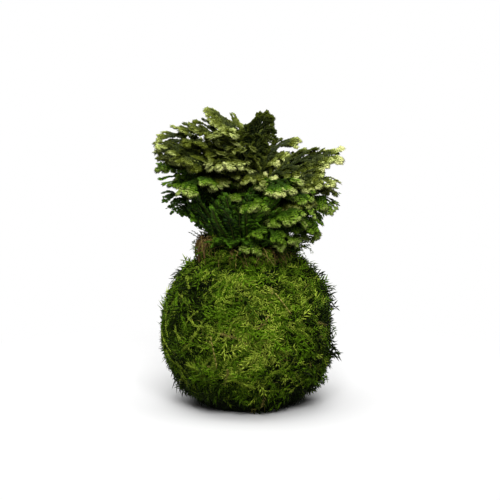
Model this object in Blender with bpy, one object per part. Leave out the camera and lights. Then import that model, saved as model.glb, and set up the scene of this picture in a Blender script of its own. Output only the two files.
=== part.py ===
"""Kokedama: a ball of soil wrapped in sheet moss and bound with thread, planted with a frosted spikemoss.

Metres, +Z up. The origin is the centre of the flat underside, and the front of the plant faces -Y.
"""

import math

import bmesh
import bpy
from mathutils import Vector

# ---------------------------------------------------------------- driving dimensions (metres, degrees)
GAP = 0.0004  # clearance between pieces that touch

BALL_RADIUS = 0.060
BALL_MIDDLE = 0.054  # height of the widest part
BALL_POWER = 2.3  # superellipse power: 2 is a plain ball, more is squarer
BALL_SIDES = 40
MOSS_POINTS = 15  # points up the outside of the moss
CAVITY_POINTS = 10  # points up the hollow inside it
MOSS_THICKNESS = 0.008
LUMP = 0.0011  # how far the moss swells and dips
LUMP_WAVE = 0.018
LUMP_LOW = 0.008  # the moss is smooth below this height
LUMP_HIGH = 0.102  # and above this one

NECK_RADIUS = 0.0345
NECK_BORE = 0.0265
NECK_FOOT = 0.1055  # where the shoulder of the ball ends
NECK_TOP = 0.1195

POCKET_RADIUS = 0.0244  # hole in the soil for the root plug
POCKET_FLOOR = 0.050
PLUG_TOP = 0.112
PLUG_EDGE = 0.0022  # slope at the plug's edges

THREAD_RADIUS = 0.00035
THREAD_CLEAR = 0.0006  # from the moss to the thread
THREAD_TURNS = 5
THREAD_TILT = 0.005  # each turn rises and falls this much
THREAD_LOW = 0.018
THREAD_HIGH = 0.094
THREAD_STEPS = 40  # points in a turn

STEM_RADIUS = 0.0011
STEM_STEPS = 4
FROND_THICKNESS = 0.0016
FROND_ROWS = 8  # points along a frond
FROND_COLUMNS = 5  # points across a frond
FROND_CUP = 0.30  # how far the sides of a frond hang, as a share of its half width
TOOTH = 0.14  # depth of the lobes along a frond's edge

# Each tier of stems: its foot's radius in the root plug, and the radius and height where the frond begins.
TIERS = {
    "skirt": (0.0210, 0.0250, 0.1235),
    "low": (0.0165, 0.0205, 0.1330),
    "middle": (0.0120, 0.0165, 0.1450),
    "high": (0.0075, 0.0125, 0.1560),
    "crown": (0.0035, 0.0065, 0.1600),
}

# Each frond: tier, azimuth (-90 is the front, 0 the right), reach from the axis, crest, tip, half width
# and roll (how steeply its side rises towards greater azimuths).
FRONDS = (
    ("skirt", -82, 0.042, 0.1240, 0.1205, 0.012, 0.00),
    ("skirt", -48, 0.049, 0.129, 0.126, 0.016, 0.05),
    ("skirt", -4, 0.051, 0.131, 0.127, 0.018, 0.10),
    ("skirt", 74, 0.054, 0.134, 0.131, 0.026, 0.05),
    ("low", -86, 0.048, 0.156, 0.153, 0.016, 0.00),
    ("low", -47, 0.056, 0.147, 0.144, 0.020, 0.10),
    ("low", -3, 0.061, 0.151, 0.149, 0.022, 0.25),
    ("low", 78, 0.061, 0.155, 0.153, 0.026, 0.05),
    ("low", 174, 0.058, 0.150, 0.155, 0.016, -0.25),
    ("middle", -60, 0.057, 0.168, 0.166, 0.021, 0.05),
    ("middle", -16, 0.063, 0.166, 0.166, 0.020, 0.10),
    ("middle", 34, 0.062, 0.172, 0.170, 0.021, 0.05),
    ("middle", 84, 0.060, 0.177, 0.175, 0.021, 0.00),
    ("middle", 132, 0.062, 0.173, 0.172, 0.020, -0.05),
    ("middle", 177, 0.062, 0.172, 0.174, 0.019, -0.15),
    ("middle", 224, 0.060, 0.167, 0.166, 0.020, 0.00),
    ("high", -108, 0.052, 0.182, 0.180, 0.021, 0.00),
    ("high", 3, 0.065, 0.179, 0.183, 0.020, 0.40),
    ("high", 42, 0.045, 0.187, 0.190, 0.014, 0.10),
    ("high", 98, 0.050, 0.196, 0.195, 0.022, 0.00),
    ("high", 154, 0.067, 0.190, 0.193, 0.021, -0.15),
    ("high", 200, 0.066, 0.187, 0.192, 0.019, -0.20),
    ("crown", 180, 0.050, 0.199, 0.201, 0.017, 0.00),
    ("crown", 128, 0.042, 0.206, 0.211, 0.014, 0.25),
    ("crown", -118, 0.037, 0.195, 0.198, 0.016, 0.00),
    ("crown", -52, 0.017, 0.204, 0.211, 0.017, 0.00),
)

# Dry stalks that hang over the neck: azimuth, and how low the free end hangs.
WITHERED = ((194, 0.1085), (205, 0.1065), (217, 0.1100))
WITHERED_RADIUS = 0.0008
WITHERED_STEPS = 6

# ---------------------------------------------------------------- finishes: colour, roughness
FINISHES = {
    "moss": ((0.060, 0.110, 0.012), 0.95),
    "soil": ((0.030, 0.019, 0.011), 0.98),
    "roots": ((0.085, 0.052, 0.026), 0.95),
    "thread": ((0.012, 0.020, 0.010), 0.60),
    "stem": ((0.110, 0.130, 0.035), 0.65),
    "withered": ((0.160, 0.085, 0.036), 0.85),
    "leaf_deep": ((0.035, 0.120, 0.014), 0.55),
    "leaf_frosted": ((0.150, 0.210, 0.055), 0.60),
}
TIER_FINISH = {
    "skirt": "leaf_deep",
    "low": "leaf_deep",
    "middle": "leaf_frosted",
    "high": "leaf_frosted",
    "crown": "leaf_frosted",
}


def clear_scene():
    for obj in list(bpy.data.objects):
        bpy.data.objects.remove(obj, do_unlink=True)


def finish(name):
    """The named material, made the first time it is asked for."""
    material = bpy.data.materials.get(name)
    if material is None:
        colour, roughness = FINISHES[name]
        material = bpy.data.materials.new(name)
        material.use_nodes = True
        shader = material.node_tree.nodes["Principled BSDF"]
        shader.inputs["Base Color"].default_value = (*colour, 1.0)
        shader.inputs["Roughness"].default_value = roughness
        shader.inputs["Metallic"].default_value = 0.0
    return material


def add_object(name, data, finish_name):
    data.materials.append(finish(finish_name))
    obj = bpy.data.objects.new(name, data)
    bpy.context.scene.collection.objects.link(obj)
    return obj


def add_mesh(name, bm, finish_name):
    """Turn a bmesh into a named object, shaded smooth except at sharp edges."""
    bmesh.ops.recalc_face_normals(bm, faces=bm.faces)
    mesh = bpy.data.meshes.new(name)
    bm.to_mesh(mesh)
    bm.free()
    mesh.shade_smooth()
    mesh.set_sharp_from_angle(angle=math.radians(50))
    return add_object(name, mesh, finish_name)


def turned(profile, sides):
    """A bmesh turned round Z from (radius, height) points that start and end on the axis."""
    bm = bmesh.new()
    verts = [bm.verts.new((radius, 0.0, height)) for radius, height in profile]
    edges = [bm.edges.new(pair) for pair in zip(verts, verts[1:])]
    bmesh.ops.spin(
        bm,
        geom=verts + edges,
        axis=(0.0, 0.0, 1.0),
        cent=(0.0, 0.0, 0.0),
        angle=math.tau,
        steps=sides,
        use_merge=True,
    )
    bmesh.ops.remove_doubles(bm, verts=bm.verts, dist=1e-6)
    return bm


def tube(name, points, thickness, sides_setting, finish_name, taper=0.0):
    """A round rod through the points, with closed ends, that may grow thinner towards its far end."""
    curve = bpy.data.curves.new(name, "CURVE")
    curve.dimensions = "3D"
    curve.bevel_depth = thickness
    curve.bevel_resolution = sides_setting
    curve.use_fill_caps = True
    spline = curve.splines.new("POLY")
    spline.points.add(len(points) - 1)
    for index, point in enumerate(points):
        spline.points[index].co = (*point, 1.0)
        spline.points[index].radius = 1.0 - taper * index / (len(points) - 1)
    return add_object(name, curve, finish_name)


# ---------------------------------------------------------------- the ball

def ball_radius(height, inset=0.0):
    """Radius of the moss ball at a height, or of the same ball made smaller all round by the inset."""
    size = BALL_RADIUS - inset
    level = min(abs(height - BALL_MIDDLE) / size, 1.0)
    return size * (1.0 - level**BALL_POWER) ** (1.0 / BALL_POWER)


def ball_angle(height, inset=0.0):
    """Angle up from the bottom of the ball at which its outline reaches a height."""
    return math.acos((BALL_MIDDLE - height) / (BALL_RADIUS - inset))


def ball_arc(start, stop, count, inset=0.0):
    """Points of the ball's outline between two angles, closer together where it curves."""
    points = []
    for index in range(count):
        angle = start + (stop - start) * index / (count - 1)
        height = BALL_MIDDLE - (BALL_RADIUS - inset) * math.cos(angle)
        points.append((ball_radius(height, inset), height))
    return points


def lump_at(x, y, z):
    """How far the moss stands out at a place on the ball. It fades to nothing at the base and the neck."""
    around = math.atan2(y, x)
    fade = math.sin(math.pi * min(max((z - LUMP_LOW) / (LUMP_HIGH - LUMP_LOW), 0.0), 1.0))
    swell = math.sin(3 * around + 0.7) * math.cos(z / LUMP_WAVE)
    swell += 0.6 * math.sin(5 * around + 1.6 * z / LUMP_WAVE)
    return LUMP * fade * swell


def cavity_top():
    """Height where the hollow of the moss meets the bore of its neck."""
    size = BALL_RADIUS - MOSS_THICKNESS
    share = 1.0 - (NECK_BORE / size) ** BALL_POWER
    return BALL_MIDDLE + size * share ** (1.0 / BALL_POWER)


def cavity_arc(inset):
    """Outline of the hollow in the moss, from floor to bore, made smaller all round by the inset."""
    start = ball_angle(MOSS_THICKNESS, MOSS_THICKNESS)
    stop = ball_angle(cavity_top(), MOSS_THICKNESS)
    return ball_arc(start, stop, CAVITY_POINTS, MOSS_THICKNESS + inset)


def moss_wrap():
    outside = ball_arc(ball_angle(0.0), ball_angle(NECK_FOOT), MOSS_POINTS)
    rim = NECK_RADIUS - NECK_BORE
    collar = [
        (NECK_RADIUS, NECK_FOOT + 0.3 * (NECK_TOP - NECK_FOOT)),
        (NECK_RADIUS - 0.12 * rim, NECK_TOP - 0.3 * rim),
        (NECK_RADIUS - 0.4 * rim, NECK_TOP),
        (NECK_BORE + 0.2 * rim, NECK_TOP),
        (NECK_BORE, NECK_TOP - 0.3 * rim),
    ]
    inside = cavity_arc(0.0)[::-1]
    profile = [(0.0, 0.0)] + outside + collar + inside + [(0.0, MOSS_THICKNESS)]
    bm = turned(profile, BALL_SIDES)
    for vert in bm.verts:
        x, y, z = vert.co
        radius = math.hypot(x, y)
        if radius > ball_radius(z, 0.5 * MOSS_THICKNESS) and z < NECK_FOOT:
            grow = (radius + lump_at(x, y, z)) / radius
            vert.co.x *= grow
            vert.co.y *= grow
    add_mesh("moss_wrap", bm, "moss")


def soil_core():
    outside = cavity_arc(GAP)[:-1]
    floor, top = outside[0][1], outside[-1][1]
    pocket = [(POCKET_RADIUS, top), (POCKET_RADIUS, POCKET_FLOOR), (0.0, POCKET_FLOOR)]
    profile = [(0.0, floor)] + outside + pocket
    add_mesh("soil_core", turned(profile, BALL_SIDES), "soil")


def root_plug():
    body = POCKET_RADIUS - GAP
    shoulder = NECK_BORE - GAP
    profile = [
        (0.0, POCKET_FLOOR + GAP),
        (body - PLUG_EDGE, POCKET_FLOOR + GAP),
        (body, POCKET_FLOOR + GAP + PLUG_EDGE),
        (body, cavity_top() - PLUG_EDGE),
        (shoulder, cavity_top()),
        (shoulder, PLUG_TOP - PLUG_EDGE),
        (shoulder - PLUG_EDGE, PLUG_TOP),
        (0.0, PLUG_TOP),
    ]
    add_mesh("root_plug", turned(profile, BALL_SIDES), "roots")


def binding_thread():
    """One thread wound round the ball from low on its side to the shoulder, each turn tilted."""
    count = THREAD_TURNS * THREAD_STEPS
    points = []
    for index in range(count + 1):
        share = index / count
        around = math.tau * THREAD_TURNS * share
        height = THREAD_LOW + (THREAD_HIGH - THREAD_LOW) * share + THREAD_TILT * math.sin(around)
        x, y = math.cos(around), math.sin(around)
        radius = ball_radius(height) + lump_at(x, y, height) + THREAD_CLEAR + THREAD_RADIUS
        points.append((radius * x, radius * y, height))
    tube("binding_thread", points, THREAD_RADIUS, 0, "thread")


# ---------------------------------------------------------------- the plant

def bezier(points, share):
    """A point of the cubic Bezier curve with these four control points."""
    rest = 1.0 - share
    weights = (rest**3, 3 * rest**2 * share, 3 * rest * share**2, share**3)
    return sum((Vector(point) * weight for point, weight in zip(points, weights)), Vector((0.0, 0.0)))


def stem_controls(tier):
    foot, fork_radius, fork_height = TIERS[tier]
    start = PLUG_TOP + GAP
    rise = fork_height - start
    return (
        (foot, start),
        (foot, start + 0.35 * rise),
        (foot + 0.6 * (fork_radius - foot), start + 0.7 * rise),
        (fork_radius, fork_height - STEM_RADIUS),
    )


def frond_controls(tier, reach, crest, tip):
    """The frond goes on up from its stem, bends outwards at the crest and runs on to its tip."""
    _, fork_radius, fork_height = TIERS[tier]
    span = reach - fork_radius
    return (
        (fork_radius, fork_height),
        (fork_radius + 0.06 * span, fork_height + 0.80 * (crest - fork_height)),
        (fork_radius + 0.56 * span, crest + 0.55 * (crest - tip)),
        (reach, tip),
    )


def place(flat, azimuth, sideways=0.0):
    """Turn (distance from the axis, height) into a point of the upright plane at an azimuth."""
    turn = math.radians(azimuth)
    out = Vector((math.cos(turn), math.sin(turn), 0.0))
    side = Vector((-math.sin(turn), math.cos(turn), 0.0))
    return out * flat[0] + side * sideways + Vector((0.0, 0.0, flat[1]))


def frond_width(share):
    """Half width along the frond as a share of its widest: narrow foot, broad middle, blunt tip."""
    return 0.05 + 0.95 * (1.0 - (1.0 - share) ** 2) ** 1.5 * (1.0 - 0.70 * share**4)


def stem(number, tier, azimuth):
    controls = stem_controls(tier)
    points = [place(bezier(controls, step / STEM_STEPS), azimuth) for step in range(STEM_STEPS + 1)]
    tube(f"stem_{number:02d}", points, STEM_RADIUS, 1, "stem", taper=0.35)


def frond(number, tier, azimuth, reach, crest, tip, half_width, roll):
    """A thin, lobed fan that is bent along its spine and hangs a little at its sides."""
    controls = frond_controls(tier, reach, crest, tip)
    bm = bmesh.new()
    bmesh.ops.create_grid(bm, x_segments=FROND_COLUMNS - 1, y_segments=FROND_ROWS - 1, size=1.0)
    for vert in bm.verts:
        across = vert.co.x
        along = 0.5 + 0.5 * vert.co.y
        row = round(along * (FROND_ROWS - 1))
        column = round((0.5 + 0.5 * across) * (FROND_COLUMNS - 1))
        if abs(across) > 0.99 and row % 2 == 0:
            across *= 1.0 - TOOTH
        if row == FROND_ROWS - 1 and column % 2 == 1:
            along -= 0.4 * TOOTH
        sideways = across * half_width * frond_width(along)
        spot = bezier(controls, along)
        sag = FROND_CUP * abs(across) * abs(sideways)
        vert.co = place(spot, azimuth, sideways) + Vector((0.0, 0.0, roll * sideways - sag))
    obj = add_mesh(f"frond_{number:02d}", bm, TIER_FINISH[tier])
    solid = obj.modifiers.new("Thickness", "SOLIDIFY")
    solid.thickness = FROND_THICKNESS
    solid.offset = 0.0


def withered_stem(number, azimuth, low):
    controls = (
        (NECK_BORE + 0.002, NECK_TOP + 0.0022),
        (NECK_RADIUS + 0.0010, NECK_TOP + 0.0050),
        (NECK_RADIUS + 0.0046, NECK_TOP - 0.0010),
        (NECK_RADIUS + 0.0030, low),
    )
    points = [place(bezier(controls, step / WITHERED_STEPS), azimuth) for step in range(WITHERED_STEPS + 1)]
    tube(f"withered_stem_{number}", points, WITHERED_RADIUS, 0, "withered")


def main():
    clear_scene()
    moss_wrap()
    soil_core()
    root_plug()
    binding_thread()
    for number, (tier, azimuth, reach, crest, tip, half_width, roll) in enumerate(FRONDS, start=1):
        stem(number, tier, azimuth)
        frond(number, tier, azimuth, reach, crest, tip, half_width, roll)
    for number, (azimuth, low) in enumerate(WITHERED, start=1):
        withered_stem(number, azimuth, low)


main()
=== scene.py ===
"""Looks of a kokedama: a ball of sheet moss with a frosted spikemoss growing out of its neck.

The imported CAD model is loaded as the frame, and each operator below builds one group of
pieces round it. Lengths are in metres, angles in degrees unless a name says otherwise,
+Z is up and the front faces -Y.
"""

import math

import bmesh
import bpy
import numpy as np
from mathutils import Matrix, Vector, noise


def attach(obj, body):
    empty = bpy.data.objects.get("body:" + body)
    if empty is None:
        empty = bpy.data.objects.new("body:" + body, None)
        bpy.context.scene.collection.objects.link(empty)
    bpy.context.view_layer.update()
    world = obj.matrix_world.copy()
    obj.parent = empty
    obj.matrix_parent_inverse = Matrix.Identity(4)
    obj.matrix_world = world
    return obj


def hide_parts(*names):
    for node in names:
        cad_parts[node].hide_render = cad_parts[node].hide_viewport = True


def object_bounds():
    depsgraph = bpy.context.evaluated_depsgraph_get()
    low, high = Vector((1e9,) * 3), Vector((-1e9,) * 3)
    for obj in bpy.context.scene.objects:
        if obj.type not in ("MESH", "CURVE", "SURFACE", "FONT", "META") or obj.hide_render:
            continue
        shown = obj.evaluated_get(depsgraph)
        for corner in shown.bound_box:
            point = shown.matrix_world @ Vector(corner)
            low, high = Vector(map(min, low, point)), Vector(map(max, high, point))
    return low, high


bl_info = {
    "name": "Kokedama moss ball plant",
    "version": (1, 0, 0),
    "blender": (4, 5, 0),
    "location": "View3D > Sidebar > Kokedama",
    "description": "Builds the moss, leaves, stems and stage of a kokedama round its CAD frame",
    "category": "Add Mesh",
}

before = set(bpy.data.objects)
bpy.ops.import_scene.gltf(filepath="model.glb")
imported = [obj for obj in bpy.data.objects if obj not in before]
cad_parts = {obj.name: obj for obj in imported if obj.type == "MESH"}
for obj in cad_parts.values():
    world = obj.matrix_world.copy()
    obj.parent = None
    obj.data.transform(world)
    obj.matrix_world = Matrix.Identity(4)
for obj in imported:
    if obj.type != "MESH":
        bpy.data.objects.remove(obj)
CAD_LOW, CAD_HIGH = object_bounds()
BODY = "root"

# ---------------------------------------------------------------- shape of the CAD frame

BALL_RADIUS = 0.060
BALL_MIDDLE = 0.054
BALL_POWER = 2.3
MOSS_THICKNESS = 0.008
LUMP = 0.0011
LUMP_WAVE = 0.018
LUMP_LOW = 0.008
LUMP_HIGH = 0.102
NECK_RADIUS = 0.0345
NECK_BORE = 0.0265
NECK_FOOT = 0.1055
NECK_TOP = 0.1195
PLUG_TOP = 0.112
THREAD_RADIUS = 0.00035
THREAD_TURNS = 5
THREAD_TILT = 0.005
THREAD_LOW = 0.018
THREAD_HIGH = 0.094
THREAD_STEPS = 72
THREAD_SUNK = 0.0022  # how far the thread is pulled into the moss
FROND_CUP = 0.30

# where a stem forks into its frond: distance from the axis, height
TIERS = {
    "skirt": (0.0250, 0.1235),
    "low": (0.0205, 0.1330),
    "middle": (0.0165, 0.1450),
    "high": (0.0125, 0.1560),
    "crown": (0.0065, 0.1600),
}

# tier, azimuth, reach, crest height, tip height, half width, roll
FRONDS = (
    ("skirt", -82, 0.042, 0.1240, 0.1205, 0.012, 0.00),
    ("skirt", -48, 0.049, 0.129, 0.126, 0.016, 0.05),
    ("skirt", -4, 0.051, 0.131, 0.127, 0.018, 0.10),
    ("skirt", 74, 0.054, 0.134, 0.131, 0.026, 0.05),
    ("low", -86, 0.048, 0.156, 0.153, 0.016, 0.00),
    ("low", -47, 0.056, 0.147, 0.144, 0.020, 0.10),
    ("low", -3, 0.061, 0.151, 0.149, 0.022, 0.25),
    ("low", 78, 0.061, 0.155, 0.153, 0.026, 0.05),
    ("low", 174, 0.058, 0.150, 0.155, 0.016, -0.25),
    ("middle", -60, 0.057, 0.168, 0.166, 0.021, 0.05),
    ("middle", -16, 0.063, 0.166, 0.166, 0.020, 0.10),
    ("middle", 34, 0.062, 0.172, 0.170, 0.021, 0.05),
    ("middle", 84, 0.060, 0.177, 0.175, 0.021, 0.00),
    ("middle", 132, 0.062, 0.173, 0.172, 0.020, -0.05),
    ("middle", 177, 0.062, 0.172, 0.174, 0.019, -0.15),
    ("middle", 224, 0.060, 0.167, 0.166, 0.020, 0.00),
    ("high", -108, 0.052, 0.182, 0.180, 0.021, 0.00),
    ("high", 3, 0.065, 0.179, 0.183, 0.020, 0.40),
    ("high", 42, 0.045, 0.187, 0.190, 0.014, 0.10),
    ("high", 98, 0.050, 0.196, 0.195, 0.022, 0.00),
    ("high", 154, 0.067, 0.190, 0.193, 0.021, -0.15),
    ("high", 200, 0.066, 0.187, 0.192, 0.019, -0.20),
    ("crown", 180, 0.050, 0.199, 0.201, 0.017, 0.00),
    ("crown", 128, 0.042, 0.206, 0.211, 0.014, 0.25),
    ("crown", -118, 0.037, 0.195, 0.198, 0.016, 0.00),
    ("crown", -52, 0.017, 0.204, 0.211, 0.017, 0.00),
)

# ---------------------------------------------------------------- leaf and moss arrangement

UP = np.array([0.0, 0.0, 1.0])
MIRROR = (-1, 1)
HUES = 4  # bands of the colour map, one for each run of colours
DEEP, FRESH, OLIVE, TWIG = range(HUES)  # bands of the leaves' map
GREEN, GOLD, DARK, STRAW = range(HUES)  # bands of the moss's map
EDGE_TONE = 0.012  # how far the tone changes from one edge of a leaf to the other
LOBE_LEAVES = 9
LOBE_SIZE = 0.0050
LOBE_FADE = 0.50  # how much the tone of a lobe rises from its foot to its rim

# hue band, tone of the oldest leaves, how much paler the tips are, how far the tips hang
TIER_LOOK = {
    "skirt": (FRESH, 0.34, 0.24, 0.15),
    "low": (FRESH, 0.14, 0.44, 0.35),
    "middle": (FRESH, 0.05, 0.72, 0.30),
    "high": (OLIVE, 0.05, 0.86, 0.20),
    "crown": (OLIVE, 0.08, 0.76, 0.0),
}
# fronds that differ from their tier: hue band, tone, how much paler the tips are, leaf size, lobe size; the
# crown frond at -52 is painted darker and less pale at its tips, as painted shade
ODD_FRONDS = {
    ("crown", -52): (OLIVE, 0.02, 0.24, 1.0, 0.0046),
    ("low", 174): (DEEP, 0.12, 0.20, 0.85, 0.0),
}
OLIVE_SIDE = (-30, 45)  # azimuths where the middle fronds are as olive as the upper ones
FROST_SIDE = -25  # azimuth where the frosting is strongest
FROST_DEPTH = 0.0062  # how far in from a frond's outline the pale tips reach
HANG_LENGTH = 0.009  # the last stretch of a frond, which hangs
RIPPLE = 0.0008  # height of the waves along a frond
SIDE_TWIG_GAP = 0.0062  # between the side twigs of a longer twig

# comb-like shoots round the stems, in an outer, an inner and a drooping row:
# azimuth, top distance from the axis, top height
OUTER_ROW = (*range(-160, -84, 5), *range(-84, 195, 14))
COMBS = (
    *(
        (angle, 0.037 + 0.004 * (index % 3), 0.146 + 0.005 * (2 * index % 4))
        for index, angle in enumerate(OUTER_ROW)
    ),
    *((angle, 0.029, 0.142 + 0.006 * (angle % 3)) for angle in range(-175, 185, 11)),
    *((angle, 0.038, 0.127 + 0.001 * (angle % 4)) for angle in range(-128, -56, 6)),
)
COMB_HALF = 0.009  # half width of a comb-like shoot
COMB_SPREAD = 50  # a low frond's piece takes in the combs this near to it, in degrees
DROOP_BELOW = 0.133  # shoots that end below this height droop over the neck
FREE_BEYOND = 0.043  # bare shoots whose tops lie beyond this distance stand free and are painted paler, as painted light
OPEN_FRONT = (-150, -84)  # azimuths where nothing hangs in front of the stems

MOSS_PIECES = 4
FELT_RINGS, FELT_STEPS = 56, 128  # points up the felt's outline and round it
FELT_ROUGH = 0.0011  # height of the fine lumps of the felt
BORE_FOOT = 0.1  # the bore is narrower than the hollow of the ball above this height
STAMP_NEEDLE = (0.066, 0.05)  # width and thickness of the needles of a shoot one long
LIFT, LIFT_SPREAD = 17.0, 13.0  # how far the shoots rise off the ball
SPIKE_LIFT = (30.0, 62.0)  # how far the few that stand out rise
SPIKE_TONE = -0.24
MOSS_TONE, TONE_SPREAD = 0.53, 0.27
MOSS_DRIFTS = ((0.024, 0.18), (0.006, 0.36))  # size and strength of the drifts of tone
UNDERSIDE = 0.016  # the shoots lie flatter below this height, and painted shade darkens them there
SHADED_FOOT = 0.042  # painted shade darkens the ball downwards from this height
STRANDS, STRAND_STEPS = 420, 16
STRAND_LOW, STRAND_HIGH = 0.010, NECK_FOOT - 0.003  # heights between which the long strands creep
STRAND_PITCH = 0.0014  # between the needles of a long strand
STRAWS = (  # dry stalks across the ball: x, z of both ends
    ((-0.0205, 0.0385), (-0.0250, 0.0610)),
    ((0.031, 0.076), (0.020, 0.090)),
)
STRAW_STAND = 0.0044  # how far the dry stalks lie above the plain ball
COLLAR_STRANDS = 230

# dry fibres of the tuft at the left of the neck and of the mat at its front: azimuth and its
# spread, then the least and most of rise, drop and reach, drift, share of each run of colours
TUFT = ((204, 11), (-0.002, 0.005), (0.009, 0.020), (0.001, 0.0035), 0.0040, (0.60, 0.30, 0.10))
MAT = ((-76, 24), (-0.006, 0.000), (0.004, 0.013), (0.003, 0.009), 0.0075, (0.20, 0.45, 0.35))

# patches on the front of the ball, painted light in its middle and painted shade towards its left and right
# edges, with darker and paler moss among them: centre x, centre z, radius x, radius z, change of tone
LIGHT_AND_TONE_PATCHES = (
    (0.006, 0.064, 0.030, 0.030, 0.16),
    (0.014, 0.059, 0.017, 0.018, 0.50),
    (-0.006, 0.042, 0.024, 0.012, 0.14),
    (-0.036, 0.088, 0.021, 0.014, -0.42),
    (0.024, 0.040, 0.008, 0.008, -0.26),
    (0.046, 0.070, 0.014, 0.034, -0.24),
    (-0.004, 0.099, 0.024, 0.008, 0.20),
    (-0.046, 0.062, 0.010, 0.030, -0.10),
)


# ---------------------------------------------------------------- shapes of the frame

def lerp(low, high, share):
    """Value between two numbers."""
    return low + (high - low) * share


def ball_radius(height, inset=0.0):
    """Radius of the plain ball at a height."""
    size = BALL_RADIUS - inset
    level = np.minimum(np.abs(height - BALL_MIDDLE) / size, 1.0)
    return size * (1.0 - level**BALL_POWER) ** (1.0 / BALL_POWER)


def lump_at(x, y, z):
    """How far the moss stands out at a place on the ball."""
    around = np.arctan2(y, x)
    fade = np.sin(math.pi * np.clip((z - LUMP_LOW) / (LUMP_HIGH - LUMP_LOW), 0.0, 1.0))
    swell = np.sin(3 * around + 0.7) * np.cos(z / LUMP_WAVE)
    swell = swell + 0.6 * np.sin(5 * around + 1.6 * z / LUMP_WAVE)
    return LUMP * fade * swell


def bezier(controls, shares):
    """Points of a cubic Bezier curve at the given shares of its way."""
    shares = np.asarray(shares, float)[:, None]
    rest = 1.0 - shares
    weights = (rest**3, 3 * rest**2 * shares, 3 * rest * shares**2, shares**3)
    return sum(weight * np.asarray(point, float) for weight, point in zip(weights, controls))


def frond_controls(tier, reach, crest, tip):
    """A frond's spine as (distance from the axis, height)."""
    fork_radius, fork_height = TIERS[tier]
    span = reach - fork_radius
    return (
        (fork_radius, fork_height),
        (fork_radius + 0.06 * span, fork_height + 0.80 * (crest - fork_height)),
        (fork_radius + 0.56 * span, crest + 0.55 * (crest - tip)),
        (reach, tip),
    )


def frond_width(share):
    """Half width along a frond as a share of its widest."""
    share = np.clip(share, 0.0, 1.0)
    return 0.05 + 0.95 * (1.0 - (1.0 - share) ** 2) ** 1.5 * (1.0 - 0.70 * share**4)


# ---------------------------------------------------------------- arrays of small shapes

def outward(angle):
    """Level directions away from the axis and round it, at an azimuth in radians."""
    east, north = math.cos(angle), math.sin(angle)
    return np.array([east, north, 0.0]), np.array([-north, east, 0.0])


def unit(vectors):
    """Vectors of length one."""
    return vectors / np.maximum(np.linalg.norm(vectors, axis=-1, keepdims=True), 1e-12)


def axes_along(forward, up):
    """Directions forward, left and up for each row."""
    forward = unit(forward)
    left = unit(np.cross(up, forward))
    return np.stack([forward, left, np.cross(forward, left)], axis=-2)


class Stamp:
    """A small closed shape, pressed many times into one mesh. It runs from the origin along +X."""

    def __init__(self, points, faces, tint=None, along=None, across=None):
        self.points = np.asarray(points, float)
        self.faces = np.asarray(faces, int)
        low, high = self.points.min(0), self.points.max(0)
        share = (self.points - low) / (high - low)
        self.along = 0.9 * share[:, 0] + 0.1 * share[:, 2] if along is None else along
        self.across = share[:, 1] if across is None else across
        self.tint = np.zeros(len(share)) if tint is None else tint

    @classmethod
    def of(cls, bm):
        """A stamp of what a bmesh holds."""
        bmesh.ops.triangulate(bm, faces=bm.faces)
        bmesh.ops.recalc_face_normals(bm, faces=bm.faces)
        bm.verts.index_update()
        points = [vert.co[:] for vert in bm.verts]
        faces = [[vert.index for vert in face.verts] for face in bm.faces]
        bm.free()
        return cls(points, faces)


def leaf_stamp():
    """A scale leaf: egg-shaped, pointed, a little domed."""
    bm = bmesh.new()
    bmesh.ops.create_uvsphere(bm, u_segments=5, v_segments=2, radius=1.0)
    for vert in bm.verts:
        x, y, z = vert.co
        if abs(z) > 0.5:
            vert.co = (0.45, 0.0, 0.08 if z > 0 else -0.05)
        else:
            vert.co = (0.52 + 0.48 * y, 0.34 * x, -0.02)
    return Stamp.of(bm)


def needle_stamp():
    """A moss leaf or branchlet: a long thin three-sided spindle, flat below."""
    bm = bmesh.new()
    bmesh.ops.create_uvsphere(bm, u_segments=3, v_segments=2, radius=1.0)
    for vert in bm.verts:
        x, y, z = vert.co
        if abs(z) > 0.5:
            vert.co = (0.5 + 0.5 * z, 0.0, 0.0)
        else:
            vert.co = (0.36, 0.58 * x, 0.40 * y)
    return Stamp.of(bm)


def peg_stamp():
    """A length of three-sided stalk, one long and one thick, a little thinner at its far end."""
    bm = bmesh.new()
    bmesh.ops.create_cone(bm, cap_ends=True, segments=3, radius1=1.0, radius2=0.82, depth=1.0)
    bmesh.ops.rotate(bm, verts=bm.verts, matrix=Matrix.Rotation(math.radians(90), 3, "Y"))
    bmesh.ops.translate(bm, verts=bm.verts, vec=(0.5, 0.0, 0.0))
    return Stamp.of(bm)


LEAF = leaf_stamp()
NEEDLE = needle_stamp()
PEG = peg_stamp()


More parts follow.
